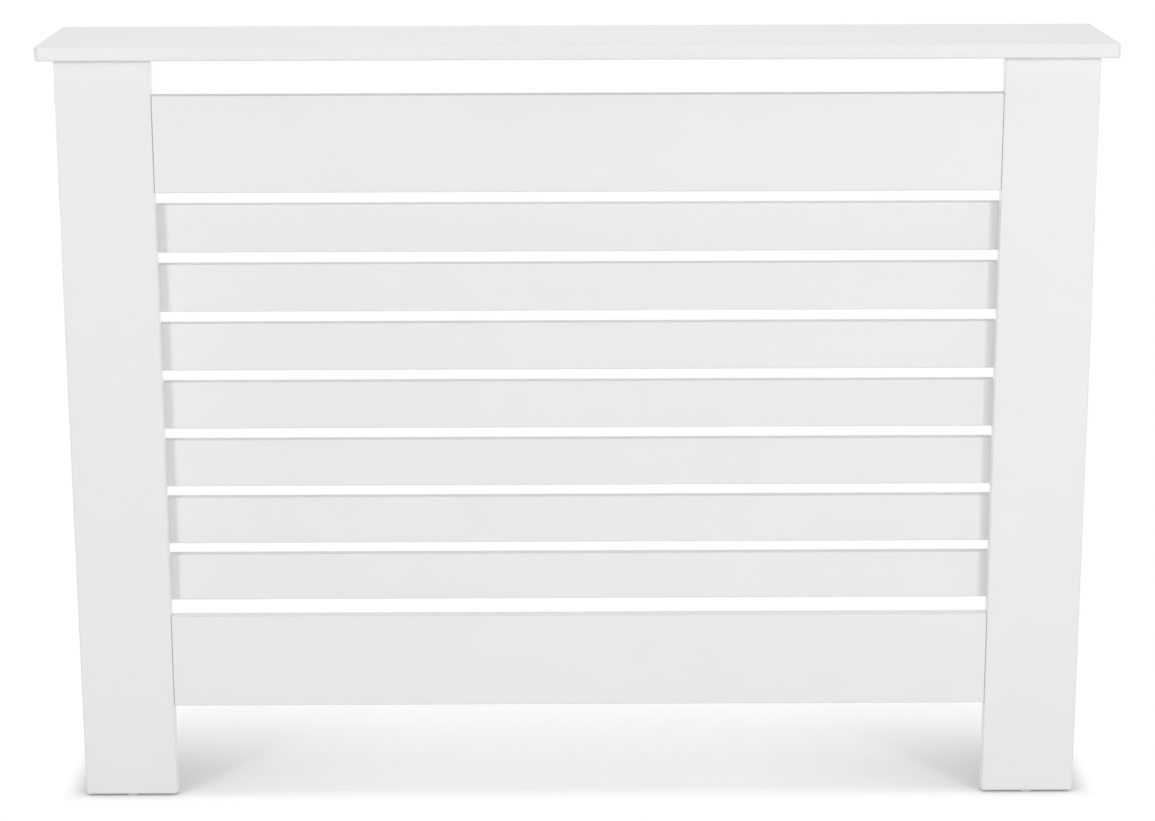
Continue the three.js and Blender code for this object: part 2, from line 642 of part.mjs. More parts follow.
// Waste outside the rounded corners at the end of each leg.
function bracketCorners() {
  const r = BRACKET_CORNER_RADIUS;
  const half = BRACKET_WIDTH / 2;
  const waste = [1, -1].map((end) => {
    const shape = new THREE.Shape();
    shape.moveTo(BRACKET_LEG - r, end * (half + OVERCUT));
    shape.absarc(BRACKET_LEG - r, end * (half - r), r, end * Math.PI / 2, 0, end > 0);
    shape.lineTo(BRACKET_LEG + OVERCUT, end * (half - r));
    shape.lineTo(BRACKET_LEG + OVERCUT, end * (half + OVERCUT));
    return prism(shape, BRACKET_SHEET + 2 * OVERCUT);
  });
  const onWallLeg = waste.map((tool) =>
    tool.clone().rotateX(Math.PI / 2).translate(0, BRACKET_SHEET + OVERCUT, 0));
  const onSideLeg = waste.map((tool) =>
    tool.clone().rotateX(Math.PI / 2).rotateZ(Math.PI / 2).translate(-OVERCUT, 0, 0));
  return [...onWallLeg, ...onSideLeg];
}

// x points along the wall leg and y along the side leg, which run from the corner into the housing.
function bracketFrame(sign) {
  const corner = at(sign * (SIDE_INNER_X - SEAT_GAP), WALL_Y - SEAT_GAP, BRACKET_Z);
  const alongWall = X_AXIS.clone().multiplyScalar(-sign);
  const alongSide = Y_AXIS.clone().negate();
  return { corner, alongWall, alongSide };
}

function bracket({ name, sign }) {
  const { corner, alongWall, alongSide } = bracketFrame(sign);
  const up = new THREE.Vector3().crossVectors(alongWall, alongSide);
  return piece(`wall_bracket_${name}`, bracketGeometry(), zincPlatedSteel, corner, facing(alongWall, up));
}

function bracketScrews() {
  return SIDES.flatMap(({ name, sign }) => {
    const { corner, alongWall, alongSide } = bracketFrame(sign);
    return bracketHoleReaches().map((reach, n) => ({
      name: `bracket_screw_${name}_${n + 1}`,
      board: `side_panel_${name}`,
      seat: past(past(corner, alongSide, reach), alongWall, BRACKET_SHEET + SEAT_GAP),
      inward: alongWall.clone().negate(),
    }));
  });
}

// A pan-head screw: the head's underside is at z = 0, and the point is at the far end along +Z.
function screwGeometry() {
  const head = turned([
    [0, -SCREW_HEAD_HEIGHT],
    [SCREW_HEAD_RADIUS - 2 * SCREW_HEAD_EDGE, -SCREW_HEAD_HEIGHT],
    [SCREW_HEAD_RADIUS, -SCREW_HEAD_HEIGHT / 2],
    [SCREW_HEAD_RADIUS, -SCREW_HEAD_EDGE / 2],
    [SCREW_HEAD_RADIUS - SCREW_HEAD_EDGE / 2, 0],
    [SCREW_SHANK_RADIUS, 0],
    [SCREW_SHANK_RADIUS, SCREW_LENGTH - SCREW_TIP],
    [0, SCREW_LENGTH],
  ], BORE_SIDES);
  const recess = prism(crossOutline(SCREW_RECESS_SPAN, SCREW_RECESS_ARM), SCREW_RECESS_DEPTH + OVERCUT);
  return cut(head, [recess.translate(0, 0, -SCREW_HEAD_HEIGHT - OVERCUT)]);
}

function screw({ name, seat, inward }) {
  return piece(name, screwGeometry(), zincPlatedSteel, seat, pointing(inward));
}

function screwBore({ board, seat, inward }) {
  const above = BRACKET_SHEET + 2 * SEAT_GAP;
  const mouth = past(seat, inward, above);
  const depth = SCREW_LENGTH - above + BORE_END_CLEARANCE;
  const radius = SCREW_SHANK_RADIUS + BORE_CLEARANCE;
  return { board, tool: bore(mouth, inward, radius, depth, SMALL_BORE_SIDES) };
}

// ---------------------------------------------------------------- assembly
function slatScrewPilots() {
  return SIDES.flatMap(({ name, sign }) => slatLevels().map((z) => {
    const mouth = at(sign * SLAT_SCREW_X, POST_BACK_Y, z);
    const inward = Y_AXIS.clone().negate();
    const depth = SLAT_SCREW_PILOT_DEPTH;
    const tool = bore(mouth, inward, SLAT_SCREW_PILOT_RADIUS, depth, SMALL_BORE_SIDES);
    return { board: `front_post_${name}`, tool };
  }));
}

function buildCover() {
  const posts = SIDES.map(frontPost);
  const rails = [rail('top_rail', TOP_RAIL_Z), rail('bottom_rail', BOTTOM_RAIL_Z)];
  const panels = SIDES.map(sidePanel);
  const boards = [topPanel(), ...posts, ...rails, ...panels];

  const dowels = dowelJoints();
  const cams = camJoints();
  const glides = glidePlaces();
  const screws = bracketScrews();
  const bores = [
    ...dowels.flatMap(dowelBores),
    ...cams.flatMap(camBores),
    ...glides.map(glideBore),
    ...screws.map(screwBore),
    ...slatScrewPilots(),
  ];
  for (const mesh of boards) {
    drill(mesh, bores.filter(({ board }) => board === mesh.name).map(({ tool }) => tool));
  }

  const grille = new THREE.Group();
  grille.add(...slatLevels().map((z, n) => slat(n + 1, z)));
  const fittings = new THREE.Group();
  fittings.add(...dowels.map(dowel), ...cams.map(cam), ...cams.map(bolt), ...glides.map(glide));
  const wallFixings = new THREE.Group();
  wallFixings.add(...SIDES.map(bracket), ...screws.map(screw));

  const cover = new THREE.Group();
  cover.name = 'radiator_cover';
  cover.add(...boards, grille, fittings, wallFixings);
  return cover;
}

const group = buildCover();

export default group;
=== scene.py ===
"""Radiator cover cabinet: its finishes, small fixings and studio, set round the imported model.

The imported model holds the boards, slats, fittings and wall brackets at their real places. This script
gives each of them its finish and its softened edges, adds the countersunk screws that hold the slats,
and sets the camera, the floor and the lamps. Lengths are metres and +Z is up. X runs along the wall,
with the room at -Y and the wall at +Y.
"""

from __future__ import annotations

import json
import logging
import math
from dataclasses import dataclass, field
from enum import Enum
from typing import Mapping

import bpy
from mathutils import Matrix, Vector

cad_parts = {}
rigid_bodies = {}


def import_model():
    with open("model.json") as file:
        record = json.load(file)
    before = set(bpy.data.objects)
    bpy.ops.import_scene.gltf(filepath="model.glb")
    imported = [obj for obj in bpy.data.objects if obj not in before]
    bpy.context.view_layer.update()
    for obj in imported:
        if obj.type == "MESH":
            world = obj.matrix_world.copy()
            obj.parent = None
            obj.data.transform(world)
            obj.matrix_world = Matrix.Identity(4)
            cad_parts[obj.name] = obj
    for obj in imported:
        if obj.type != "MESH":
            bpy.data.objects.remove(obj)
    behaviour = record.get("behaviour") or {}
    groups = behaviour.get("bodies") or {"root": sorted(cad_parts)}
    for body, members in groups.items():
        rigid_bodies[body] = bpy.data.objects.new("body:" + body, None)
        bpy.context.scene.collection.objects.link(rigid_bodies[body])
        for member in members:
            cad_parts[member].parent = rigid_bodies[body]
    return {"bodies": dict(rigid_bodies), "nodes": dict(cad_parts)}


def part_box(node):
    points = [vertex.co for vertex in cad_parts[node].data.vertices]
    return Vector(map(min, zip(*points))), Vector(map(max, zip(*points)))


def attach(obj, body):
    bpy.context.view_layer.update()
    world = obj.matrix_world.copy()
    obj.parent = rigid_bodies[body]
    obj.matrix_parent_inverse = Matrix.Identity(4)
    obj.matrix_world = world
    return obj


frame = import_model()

MM = 0.001
BODY = "root"
WHITE = 1.0  # the strength at which the camera sees a light as plain white
LOG = logging.getLogger("radiator_cover")


# ------------------------------------------------------------------ names

class Side(Enum):
    """The two ends of the cabinet, each with the sign of its X."""

    LEFT = -1
    RIGHT = 1

    @property
    def word(self) -> str:
        """The side's name inside the nodes' names."""
        return self.name.lower()


class Slot(Enum):
    """The record's material slots."""

    LACQUER = "white_lacquered_mdf"
    BEECH = "beech"
    CASTING = "zinc_casting"
    PLATED_STEEL = "zinc_plated_steel"
    NYLON = "white_nylon"


class GrainAxis(Enum):
    """The axis along which a dowel's grain runs, as the index of its coordinate."""

    X = 0
    Y = 1
    Z = 2


# ------------------------------------------------------------------ node trees

def linear(code: str) -> tuple[float, float, float, float]:
    """Turns a colour as it is seen into the values that the renderer adds and multiplies.

    Args:
        code: The colour in sRGB, such as "#f0f0ef".

    Returns:
        Linear red, green and blue, and an alpha of 1.
    """
    channels = [int(code[at:at + 2], 16) / 255 for at in (1, 3, 5)]
    red, green, blue = (c / 12.92 if c <= 0.04045 else ((c + 0.055) / 1.055) ** 2.4 for c in channels)
    return red, green, blue, 1.0


def add_node(tree: bpy.types.NodeTree, kind: str,
             inputs: Mapping[int | str, object] | None = None, **settings: object) -> bpy.types.Node:
    """Adds one node to a tree, with its settings, values and links.

    Args:
        tree: The shader or geometry tree.
        kind: The node's type.
        inputs: Values or output sockets by the name or number of the input that each one feeds.
        settings: Properties of the node itself.

    Returns:
        The new node.
    """
    node = tree.nodes.new(kind)
    for name, value in settings.items():
        setattr(node, name, value)
    for key, value in (inputs or {}).items():
        if isinstance(value, bpy.types.NodeSocket):
            tree.links.new(value, node.inputs[key])
        else:
            node.inputs[key].default_value = value
    return node


def new_surface(name: str) -> tuple[bpy.types.Material, bpy.types.NodeTree, bpy.types.Node]:
    """Starts a material that reads the piece's own coordinates.

    Args:
        name: The material's name.

    Returns:
        The material, its empty tree and its Texture Coordinate node.
    """
    material = bpy.data.materials.new(name)
    material.use_nodes = True
    tree = material.node_tree
    tree.nodes.clear()
    return material, tree, add_node(tree, "ShaderNodeTexCoord")


def finish_surface(tree: bpy.types.NodeTree, shader: bpy.types.NodeSocket) -> None:
    """Links a shader to the material's output.

    Args:
        tree: The material's tree.
        shader: The shader socket that the surface shows.
    """
    add_node(tree, "ShaderNodeOutputMaterial", {"Surface": shader})


# ------------------------------------------------------------------ finishes

@dataclass(frozen=True)
class WhiteLacquer:
    """White satin lacquer, sprayed in two coats on MDF and rubbed down by hand at the edges.

    The eye gets a soft, even white with a faint orange peel in the gleam, a slow wave where the board
    was sanded, and a slightly duller and warmer line along each rounded edge, because a cut MDF edge
    drinks more of the coat than its face does.
    """

    colour: str = "#f1f1f1"
    thin_colour: str = "#ececec"
    edge_colour: str = "#e9e9e7"
    roughness: float = 0.40
    roughness_spread: float = 0.05
    edge_roughness: float = 0.08
    cloud_size: float = 160 * MM
    peel_size: float = 4 * MM  # the real cells are about 1.5 mm, drawn coarser so that they show
    peel_depth: float = 0.03 * MM
    wave_size: float = 120 * MM
    wave_depth: float = 0.25 * MM
    edge_start: float = 0.998  # share of a face's normal along its own axis, where the edge begins
    edge_full: float = 0.92

    def material(self) -> bpy.types.Material:
        """Builds the lacquer's material."""
        material, tree, coords = new_surface("white_satin_lacquer")
        place = coords.outputs["Object"]
        clouds = add_node(tree, "ShaderNodeTexNoise",
                          {"Vector": place, "Scale": 1 / self.cloud_size, "Detail": 3.0, "Roughness": 0.55})
        edge = self.edge_share(tree, coords.outputs["Normal"])
        coat = add_node(tree, "ShaderNodeMix", {0: clouds.outputs["Fac"], 6: linear(self.colour),
                                                7: linear(self.thin_colour)}, data_type="RGBA")
        colour = add_node(tree, "ShaderNodeMix", {0: edge, 6: coat.outputs[2],
                                                  7: linear(self.edge_colour)}, data_type="RGBA")
        gleam = add_node(tree, "ShaderNodeMapRange",
                         {"Value": clouds.outputs["Fac"], "To Min": self.roughness - self.roughness_spread,
                          "To Max": self.roughness + self.roughness_spread})
        roughness = add_node(tree, "ShaderNodeMath", {0: edge, 1: self.edge_roughness,
                                                      2: gleam.outputs["Result"]}, operation="MULTIPLY_ADD")
        shader = add_node(tree, "ShaderNodeBsdfPrincipled",
                          {"Base Color": colour.outputs[2], "Roughness": roughness.outputs[0],
                           "IOR": 1.5, "Normal": self.relief(tree, place)})
        finish_surface(tree, shader.outputs[0])
        return material

    def edge_share(self, tree: bpy.types.NodeTree, normal: bpy.types.NodeSocket) -> bpy.types.NodeSocket:
        """Finds the rounded edges, where the surface faces none of the piece's three axes.

        Args:
            tree: The material's tree.
            normal: The surface's normal in the piece's own axes.

        Returns:
            A socket that is 0 on the faces and grows to 1 on the edges.
        """
        size = add_node(tree, "ShaderNodeVectorMath", {0: normal}, operation="ABSOLUTE")
        parts = add_node(tree, "ShaderNodeSeparateXYZ", {0: size.outputs[0]})
        wide = add_node(tree, "ShaderNodeMath", {0: parts.outputs[0], 1: parts.outputs[1]}, operation="MAXIMUM")
        most = add_node(tree, "ShaderNodeMath", {0: wide.outputs[0], 1: parts.outputs[2]}, operation="MAXIMUM")
        share = add_node(tree, "ShaderNodeMapRange", {"Value": most.outputs[0], "From Min": self.edge_start,
                                                      "From Max": self.edge_full})
        return share.outputs["Result"]

    def relief(self, tree: bpy.types.NodeTree, place: bpy.types.NodeSocket) -> bpy.types.NodeSocket:
        """Adds the sanded wave and the orange peel.

        Args:
            tree: The material's tree.
            place: The piece's own coordinates.

        Returns:
            The socket of the changed normal.
        """
        wave = add_node(tree, "ShaderNodeTexNoise", {"Vector": place, "Scale": 1 / self.wave_size, "Detail": 0.0})
        sanded = add_node(tree, "ShaderNodeBump", {"Height": wave.outputs["Fac"], "Distance": self.wave_depth})
        peel = add_node(tree, "ShaderNodeTexNoise", {"Vector": place, "Scale": 1 / self.peel_size, "Detail": 1.5})
        sprayed = add_node(tree, "ShaderNodeBump", {"Height": peel.outputs["Fac"], "Distance": self.peel_depth,
                                                    "Normal": sanded.outputs[0]})
        return sprayed.outputs[0]


@dataclass(frozen=True)
class Beech:
    """Turned beech, as dowels are: dense and pink-brown, with fine dark flecks along the grain."""

    axis: GrainAxis
    colour: str = "#d3ab77"
    fleck_colour: str = "#a9794b"
    roughness: float = 0.62
    fleck_width: float = 0.5 * MM
    fleck_length: float = 5 * MM
    relief_depth: float = 0.05 * MM

    def material(self) -> bpy.types.Material:
        """Builds the material for grain along this axis."""
        material, tree, coords = new_surface(f"beech_along_{self.axis.name.lower()}")
        scale = [1 / self.fleck_width] * 3
        scale[self.axis.value] = 1 / self.fleck_length
        stretched = add_node(tree, "ShaderNodeMapping", {"Vector": coords.outputs["Object"], "Scale": scale})
        flecks = add_node(tree, "ShaderNodeTexNoise", {"Vector": stretched.outputs[0], "Scale": 1.0, "Detail": 3.0})
        share = add_node(tree, "ShaderNodeMapRange", {"Value": flecks.outputs["Fac"], "From Min": 0.5,
                                                      "From Max": 0.75})
        colour = add_node(tree, "ShaderNodeMix", {0: share.outputs["Result"], 6: linear(self.colour),
                                                  7: linear(self.fleck_colour)}, data_type="RGBA")
        relief = add_node(tree, "ShaderNodeBump", {"Height": flecks.outputs["Fac"], "Distance": self.relief_depth})
        shader = add_node(tree, "ShaderNodeBsdfPrincipled",
                          {"Base Color": colour.outputs[2], "Roughness": self.roughness,
                           "Normal": relief.outputs[0]})
        finish_surface(tree, shader.outputs[0])
        return material


@dataclass(frozen=True)
class BareMetal:
    """A plain metal surface with patches of tone and a fine relief."""

    name: str
    colour: str
    patch_colour: str
    roughness: float
    roughness_spread: float
    patch_size: float
    grain_size: float
    grain_depth: float

    def material(self) -> bpy.types.Material:
        """Builds the metal's material."""
        material, tree, coords = new_surface(self.name)
        place = coords.outputs["Object"]
        patches = add_node(tree, "ShaderNodeTexNoise", {"Vector": place, "Scale": 1 / self.patch_size, "Detail": 4.0})
        grain = add_node(tree, "ShaderNodeTexNoise", {"Vector": place, "Scale": 1 / self.grain_size, "Detail": 2.0})
        colour = add_node(tree, "ShaderNodeMix", {0: patches.outputs["Fac"], 6: linear(self.colour),
                                                  7: linear(self.patch_colour)}, data_type="RGBA")
        roughness = add_node(tree, "ShaderNodeMapRange",
                             {"Value": grain.outputs["Fac"], "To Min": self.roughness - self.roughness_spread,
                              "To Max": self.roughness + self.roughness_spread})
        relief = add_node(tree, "ShaderNodeBump", {"Height": grain.outputs["Fac"], "Distance": self.grain_depth})
        shader = add_node(tree, "ShaderNodeBsdfPrincipled",
                          {"Base Color": colour.outputs[2], "Metallic": 1.0,
                           "Roughness": roughness.outputs["Result"], "Normal": relief.outputs[0]})
        finish_surface(tree, shader.outputs[0])
        return material


# Die-cast zinc, tumbled after casting: a dull mid grey with a sandy skin that breaks up reflections.
CAST_ZINC = BareMetal("tumbled_cast_zinc", "#aeb1b3", "#989b9e", roughness=0.48, roughness_spread=0.08,
                      patch_size=6 * MM, grain_size=0.5 * MM, grain_depth=0.03 * MM)

# Steel with a bright zinc plating: cool, fairly shiny, with the faint clouds that the bath leaves.
PLATED_STEEL = BareMetal("bright_zinc_plated_steel", "#bcc0c5", "#a9acad", roughness=0.30,
                         roughness_spread=0.05, patch_size=14 * MM, grain_size=0.7 * MM, grain_depth=0.006 * MM)


@dataclass(frozen=True)
class WhiteNylon:
    """Injection-moulded natural nylon: milky, a little waxy, with a fine spark-eroded mould texture."""

    colour: str = "#e9e8e3"
    shade_colour: str = "#dedcd4"
    roughness: float = 0.5
    texture_size: float = 0.6 * MM
    texture_depth: float = 0.02 * MM
    cloud_size: float = 9 * MM

    def material(self) -> bpy.types.Material:
        """Builds the nylon's material."""
        material, tree, coords = new_surface("moulded_white_nylon")
        place = coords.outputs["Object"]
        clouds = add_node(tree, "ShaderNodeTexNoise", {"Vector": place, "Scale": 1 / self.cloud_size})
        texture = add_node(tree, "ShaderNodeTexNoise", {"Vector": place, "Scale": 1 / self.texture_size})
        colour = add_node(tree, "ShaderNodeMix", {0: clouds.outputs["Fac"], 6: linear(self.colour),
                                                  7: linear(self.shade_colour)}, data_type="RGBA")
        relief = add_node(tree, "ShaderNodeBump", {"Height": texture.outputs["Fac"],
                                                   "Distance": self.texture_depth})
        shader = add_node(tree, "ShaderNodeBsdfPrincipled",
                          {"Base Color": colour.outputs[2], "Roughness": self.roughness, "IOR": 1.53,
                           "Normal": relief.outputs[0]})
        finish_surface(tree, shader.outputs[0])
        return material


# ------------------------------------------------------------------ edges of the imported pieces

def smooth_below_tree(angle: float) -> bpy.types.NodeTree:
    """Builds a tree that shades a mesh smooth, except at edges that turn by more than an angle.

    Args:
        angle: The turn, in radians, past which an edge stays crisp.

    Returns:
        The geometry tree.
    """
    tree = bpy.data.node_groups.new("smooth_soft_edges", "GeometryNodeTree")
    tree.interface.new_socket("Geometry", in_out="INPUT", socket_type="NodeSocketGeometry")
    tree.interface.new_socket("Geometry", in_out="OUTPUT", socket_type="NodeSocketGeometry")
    given = add_node(tree, "NodeGroupInput")
    turn = add_node(tree, "GeometryNodeInputMeshEdgeAngle")
    crisp = add_node(tree, "FunctionNodeCompare", {0: turn.outputs[0], 1: angle}, operation="GREATER_THAN")
    faces = add_node(tree, "GeometryNodeSetShadeSmooth",
                     {"Geometry": given.outputs[0], "Shade Smooth": True}, domain="FACE")
    edges = add_node(tree, "GeometryNodeSetShadeSmooth",
                     {"Geometry": faces.outputs[0], "Selection": crisp.outputs[0], "Shade Smooth": False},
                     domain="EDGE")
    add_node(tree, "NodeGroupOutput", {0: edges.outputs[0]})
    return tree


@dataclass(frozen=True)
class EdgeWork:
    """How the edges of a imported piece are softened, without a change to its own mesh."""

    radius: float
    segments: int = 2
    crisp_above: float = math.radians(50)
    bevel_above: float = math.radians(40)
    merge_distance: float = 0.005 * MM
    flat_within: float = math.radians(0.5)
    split_faces: bool = False  # the bevel tears a wide face with many bores in it, unless it is in triangles

    def dress(self, piece: bpy.types.Object, shading: bpy.types.NodeTree) -> None:
        """Puts the modifiers on a piece.

        Args:
            piece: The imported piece.
            shading: The tree that smooths its soft edges.
        """
        weld = piece.modifiers.new("join_corners", "WELD")
        weld.merge_threshold = self.merge_distance
        flat = piece.modifiers.new("whole_faces", "DECIMATE")
        flat.decimate_type = "DISSOLVE"
        flat.angle_limit = self.flat_within
        if self.split_faces:
            piece.modifiers.new("split_faces", "TRIANGULATE")
        bevel = piece.modifiers.new("soft_edges", "BEVEL")
        bevel.width = self.radius
        bevel.segments = self.segments
        bevel.limit_method = "ANGLE"
        bevel.angle_limit = self.bevel_above
        smooth = piece.modifiers.new("smooth_soft_edges", "NODES")
        smooth.node_group = shading
        normals = piece.modifiers.new("even_faces", "WEIGHTED_NORMAL")
        normals.keep_sharp = True


# ------------------------------------------------------------------ sub-assemblies

def dress(names: list[str], material: bpy.types.Material, slot: Slot, edges: EdgeWork,
          shading: bpy.types.NodeTree) -> None:
    """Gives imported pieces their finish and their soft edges.

    Args:
        names: The nodes to dress.
        material: Their material.
        slot: Their slot in the record.
        edges: How their edges are softened.
        shading: The tree that smooths soft edges.
    """
    for name in names:
        piece = frame["nodes"][name]
        piece.material_slots[0].material = material
        edges.dress(piece, shading)
        LOG.info("dressed %s as %s", name, slot.value)


def numbered(pattern: str, count: int) -> list[str]:
    """Fills a name's number in, from 1 up to a count."""
    return [pattern.format(n) for n in range(1, count + 1)]


def on_both_sides(pattern: str, places: tuple[str, ...] = ("",)) -> list[str]:
    """Fills a name's side and place in, for the left and the right side.

    Args:
        pattern: The name, with {side} and perhaps {place} in it.
        places: The places on each side.

    Returns:
        One name for each side and place.
    """
    return [pattern.format(side=side.word, place=place) for side in Side for place in places]


@dataclass
class Carcass:
    """The top panel, the front frame and the side panels."""

    lacquer: bpy.types.Material
    shading: bpy.types.NodeTree
    edges: EdgeWork = EdgeWork(radius=0.4 * MM, split_faces=True)

    def build(self) -> None:
        """Dresses the boards."""
        boards = ["top_panel", "top_rail", "bottom_rail"]
        boards += on_both_sides("front_post_{side}") + on_both_sides("side_panel_{side}")
        dress(boards, self.lacquer, Slot.LACQUER, self.edges, self.shading)


@dataclass
class SlatScrew:
    """A countersunk screw of 3 x 20 mm with a cross recess, its head's face at z = 0."""

    head_radius: float = 3.5 * MM
    head_depth: float = 2.1 * MM
    shank_radius: float = 1.4 * MM
    shank_length: float = 17 * MM
    recess_span: float = 3.9 * MM
    recess_arm: float = 0.85 * MM
    recess_depth: float = 1.3 * MM
    sides: int = 32
    seed: int = 11  # each screw stops at its own angle

    def tree(self, material: bpy.types.Material) -> bpy.types.NodeTree:
        """Builds the tree that sets two columns of screws with their heads to +Y.

        Args:
            material: The screws' material.

        Returns:
            The geometry tree, with the columns' places and the screw's sizes as its inputs.
        """
        tree = bpy.data.node_groups.new("slat_screws", "GeometryNodeTree")
        face = tree.interface
        face.new_socket("Screws", in_out="OUTPUT", socket_type="NodeSocketGeometry")
        face.new_socket("Rows", in_out="INPUT", socket_type="NodeSocketInt")
        face.new_socket("First Place", in_out="INPUT", socket_type="NodeSocketVector")
        face.new_socket("Row Step", in_out="INPUT", socket_type="NodeSocketVector")
        face.new_socket("Column Step", in_out="INPUT", socket_type="NodeSocketVector")
        for name in self.sizes():
            face.new_socket(name, in_out="INPUT", socket_type="NodeSocketFloat")
        given = add_node(tree, "NodeGroupInput").outputs
        column = add_node(tree, "GeometryNodeMeshLine", {"Count": given["Rows"], "Offset": given["Row Step"],
                                                         "Start Location": given["First Place"]})
        other = add_node(tree, "GeometryNodeTransform", {"Geometry": column.outputs[0],
                                                         "Translation": given["Column Step"]})
        columns = add_node(tree, "GeometryNodeJoinGeometry")
        for part in (column, other):
            tree.links.new(part.outputs[0], columns.inputs[0])
        stop = add_node(tree, "FunctionNodeRandomValue", {2: 0.0, 3: math.pi / 2, "Seed": self.seed},
                        data_type="FLOAT")
        turned = add_node(tree, "ShaderNodeCombineXYZ", {"X": -math.pi / 2, "Y": stop.outputs[1]})
        screws = add_node(tree, "GeometryNodeInstanceOnPoints",
                          {"Points": columns.outputs[0], "Instance": self.body(tree, given),
                           "Rotation": turned.outputs[0]})
        real = add_node(tree, "GeometryNodeRealizeInstances", {0: screws.outputs[0]})
        dressed = add_node(tree, "GeometryNodeSetMaterial", {"Geometry": real.outputs[0], "Material": material})
        add_node(tree, "NodeGroupOutput", {0: dressed.outputs[0]})
        return tree

    def sizes(self) -> dict[str, float]:
        """The tree's named sizes."""
        return {"Head Radius": self.head_radius, "Head Depth": self.head_depth,
                "Shank Radius": self.shank_radius, "Shank Length": self.shank_length,
                "Recess Span": self.recess_span, "Recess Arm": self.recess_arm,
                "Recess Depth": self.recess_depth}

    def body(self, tree: bpy.types.NodeTree, given: bpy.types.bpy_prop_collection) -> bpy.types.NodeSocket:
        """Makes one screw: a cone and a shank in one skin, less the cross recess.

        Args:
            tree: The geometry tree.
            given: The tree's inputs.

        Returns:
            The socket of the screw's mesh.
        """
        head = add_node(tree, "GeometryNodeMeshCone",
                        {"Vertices": self.sides, "Radius Top": given["Head Radius"],
                         "Radius Bottom": given["Shank Radius"], "Depth": given["Head Depth"]})
        sunk = self.moved(tree, head.outputs[0], self.negative(tree, given["Head Depth"]))
        shank = add_node(tree, "GeometryNodeMeshCylinder",
                         {"Vertices": self.sides, "Radius": given["Shank Radius"], "Depth": given["Shank Length"]})
        reach = add_node(tree, "ShaderNodeMath", {0: given["Shank Length"], 1: -0.5, 2: 0.0},
                         operation="MULTIPLY_ADD")
        hung = self.moved(tree, shank.outputs[0], reach.outputs[0])
        whole = add_node(tree, "GeometryNodeMeshBoolean", {"Mesh 2": sunk}, operation="UNION", solver="EXACT")
        tree.links.new(hung, whole.inputs["Mesh 2"])
        twice = add_node(tree, "ShaderNodeMath", {0: given["Recess Depth"], 1: 2.0}, operation="MULTIPLY")
        along = add_node(tree, "ShaderNodeCombineXYZ", {"X": given["Recess Span"], "Y": given["Recess Arm"],
                                                        "Z": twice.outputs[0]})
        across = add_node(tree, "ShaderNodeCombineXYZ", {"X": given["Recess Arm"], "Y": given["Recess Span"],
                                                         "Z": twice.outputs[0]})
        slots = [add_node(tree, "GeometryNodeMeshCube", {"Size": size.outputs[0]}) for size in (along, across)]
        driven = add_node(tree, "GeometryNodeMeshBoolean", {"Mesh 1": whole.outputs[0]}, operation="DIFFERENCE",
                          solver="EXACT")
        for slot in slots:
            tree.links.new(slot.outputs[0], driven.inputs["Mesh 2"])
        return driven.outputs[0]

    def negative(self, tree: bpy.types.NodeTree, size: bpy.types.NodeSocket) -> bpy.types.NodeSocket:
        """Turns a size's sign round."""
        return add_node(tree, "ShaderNodeMath", {0: size, 1: -1.0}, operation="MULTIPLY").outputs[0]

    def moved(self, tree: bpy.types.NodeTree, mesh: bpy.types.NodeSocket,
              height: bpy.types.NodeSocket) -> bpy.types.NodeSocket:
        """Lifts a mesh along Z by the height that a socket gives."""
        lift = add_node(tree, "ShaderNodeCombineXYZ", {"Z": height})
        return add_node(tree, "GeometryNodeTransform", {"Geometry": mesh, "Translation": lift.outputs[0]}).outputs[0]


@dataclass
class Grille:
    """The slats behind the posts, with the screws that hold their ends."""

    lacquer: bpy.types.Material
    steel: bpy.types.Material
    shading: bpy.types.NodeTree
    count: int = 7
    edges: EdgeWork = EdgeWork(radius=0.4 * MM)
    screw: SlatScrew = field(default_factory=SlatScrew)
    head_below_face: float = 0.15 * MM

    def build(self) -> None:
        """Dresses the slats and sets their screws."""
        dress(numbered("slat_{}", self.count), self.lacquer, Slot.LACQUER, self.edges, self.shading)
        self.set_screws()

    def set_screws(self) -> None:
        """Puts a screw into each countersink, half way along a slat's lap behind its post."""
        first_low, first_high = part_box("slat_1")
        last_low, last_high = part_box(f"slat_{self.count}")
        post_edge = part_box("front_post_left")[1].x
        x = (first_low.x + post_edge) / 2
        top = (first_low.z + first_high.z) / 2
        bottom = (last_low.z + last_high.z) / 2
        places = {"Rows": self.count, "First Place": (x, first_high.y - self.head_below_face, top),
                  "Row Step": (0.0, 0.0, (bottom - top) / (self.count - 1)), "Column Step": (-2 * x, 0.0, 0.0)}
        screws = grow("slat_screws", self.screw.tree(self.steel), {**places, **self.screw.sizes()})
        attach(screws, BODY)


def grow(name: str, tree: bpy.types.NodeTree, sizes: Mapping[str, object]) -> bpy.types.Object:
    """Runs a geometry tree once and keeps its result as a plain mesh.

    Args:
        name: The piece's name.
        tree: The tree that makes it.
        sizes: The values of the tree's named inputs.

    Returns:
        The new piece, with no modifier on it.
    """
    seedling = bpy.data.objects.new(name + "_source", bpy.data.meshes.new(name + "_source"))
    bpy.context.scene.collection.objects.link(seedling)
    modifier = seedling.modifiers.new("grow", "NODES")
    modifier.node_group = tree
    for socket in tree.interface.items_tree:
        if socket.in_out == "INPUT":
            modifier[socket.identifier] = sizes[socket.name]
    mesh = bpy.data.meshes.new_from_object(seedling.evaluated_get(bpy.context.evaluated_depsgraph_get()))
    bpy.data.objects.remove(seedling)
    mesh.name = name
    piece = bpy.data.objects.new(name, mesh)
    bpy.context.scene.collection.objects.link(piece)
    LOG.info("made %s with %d faces", name, len(mesh.polygons))
    return piece


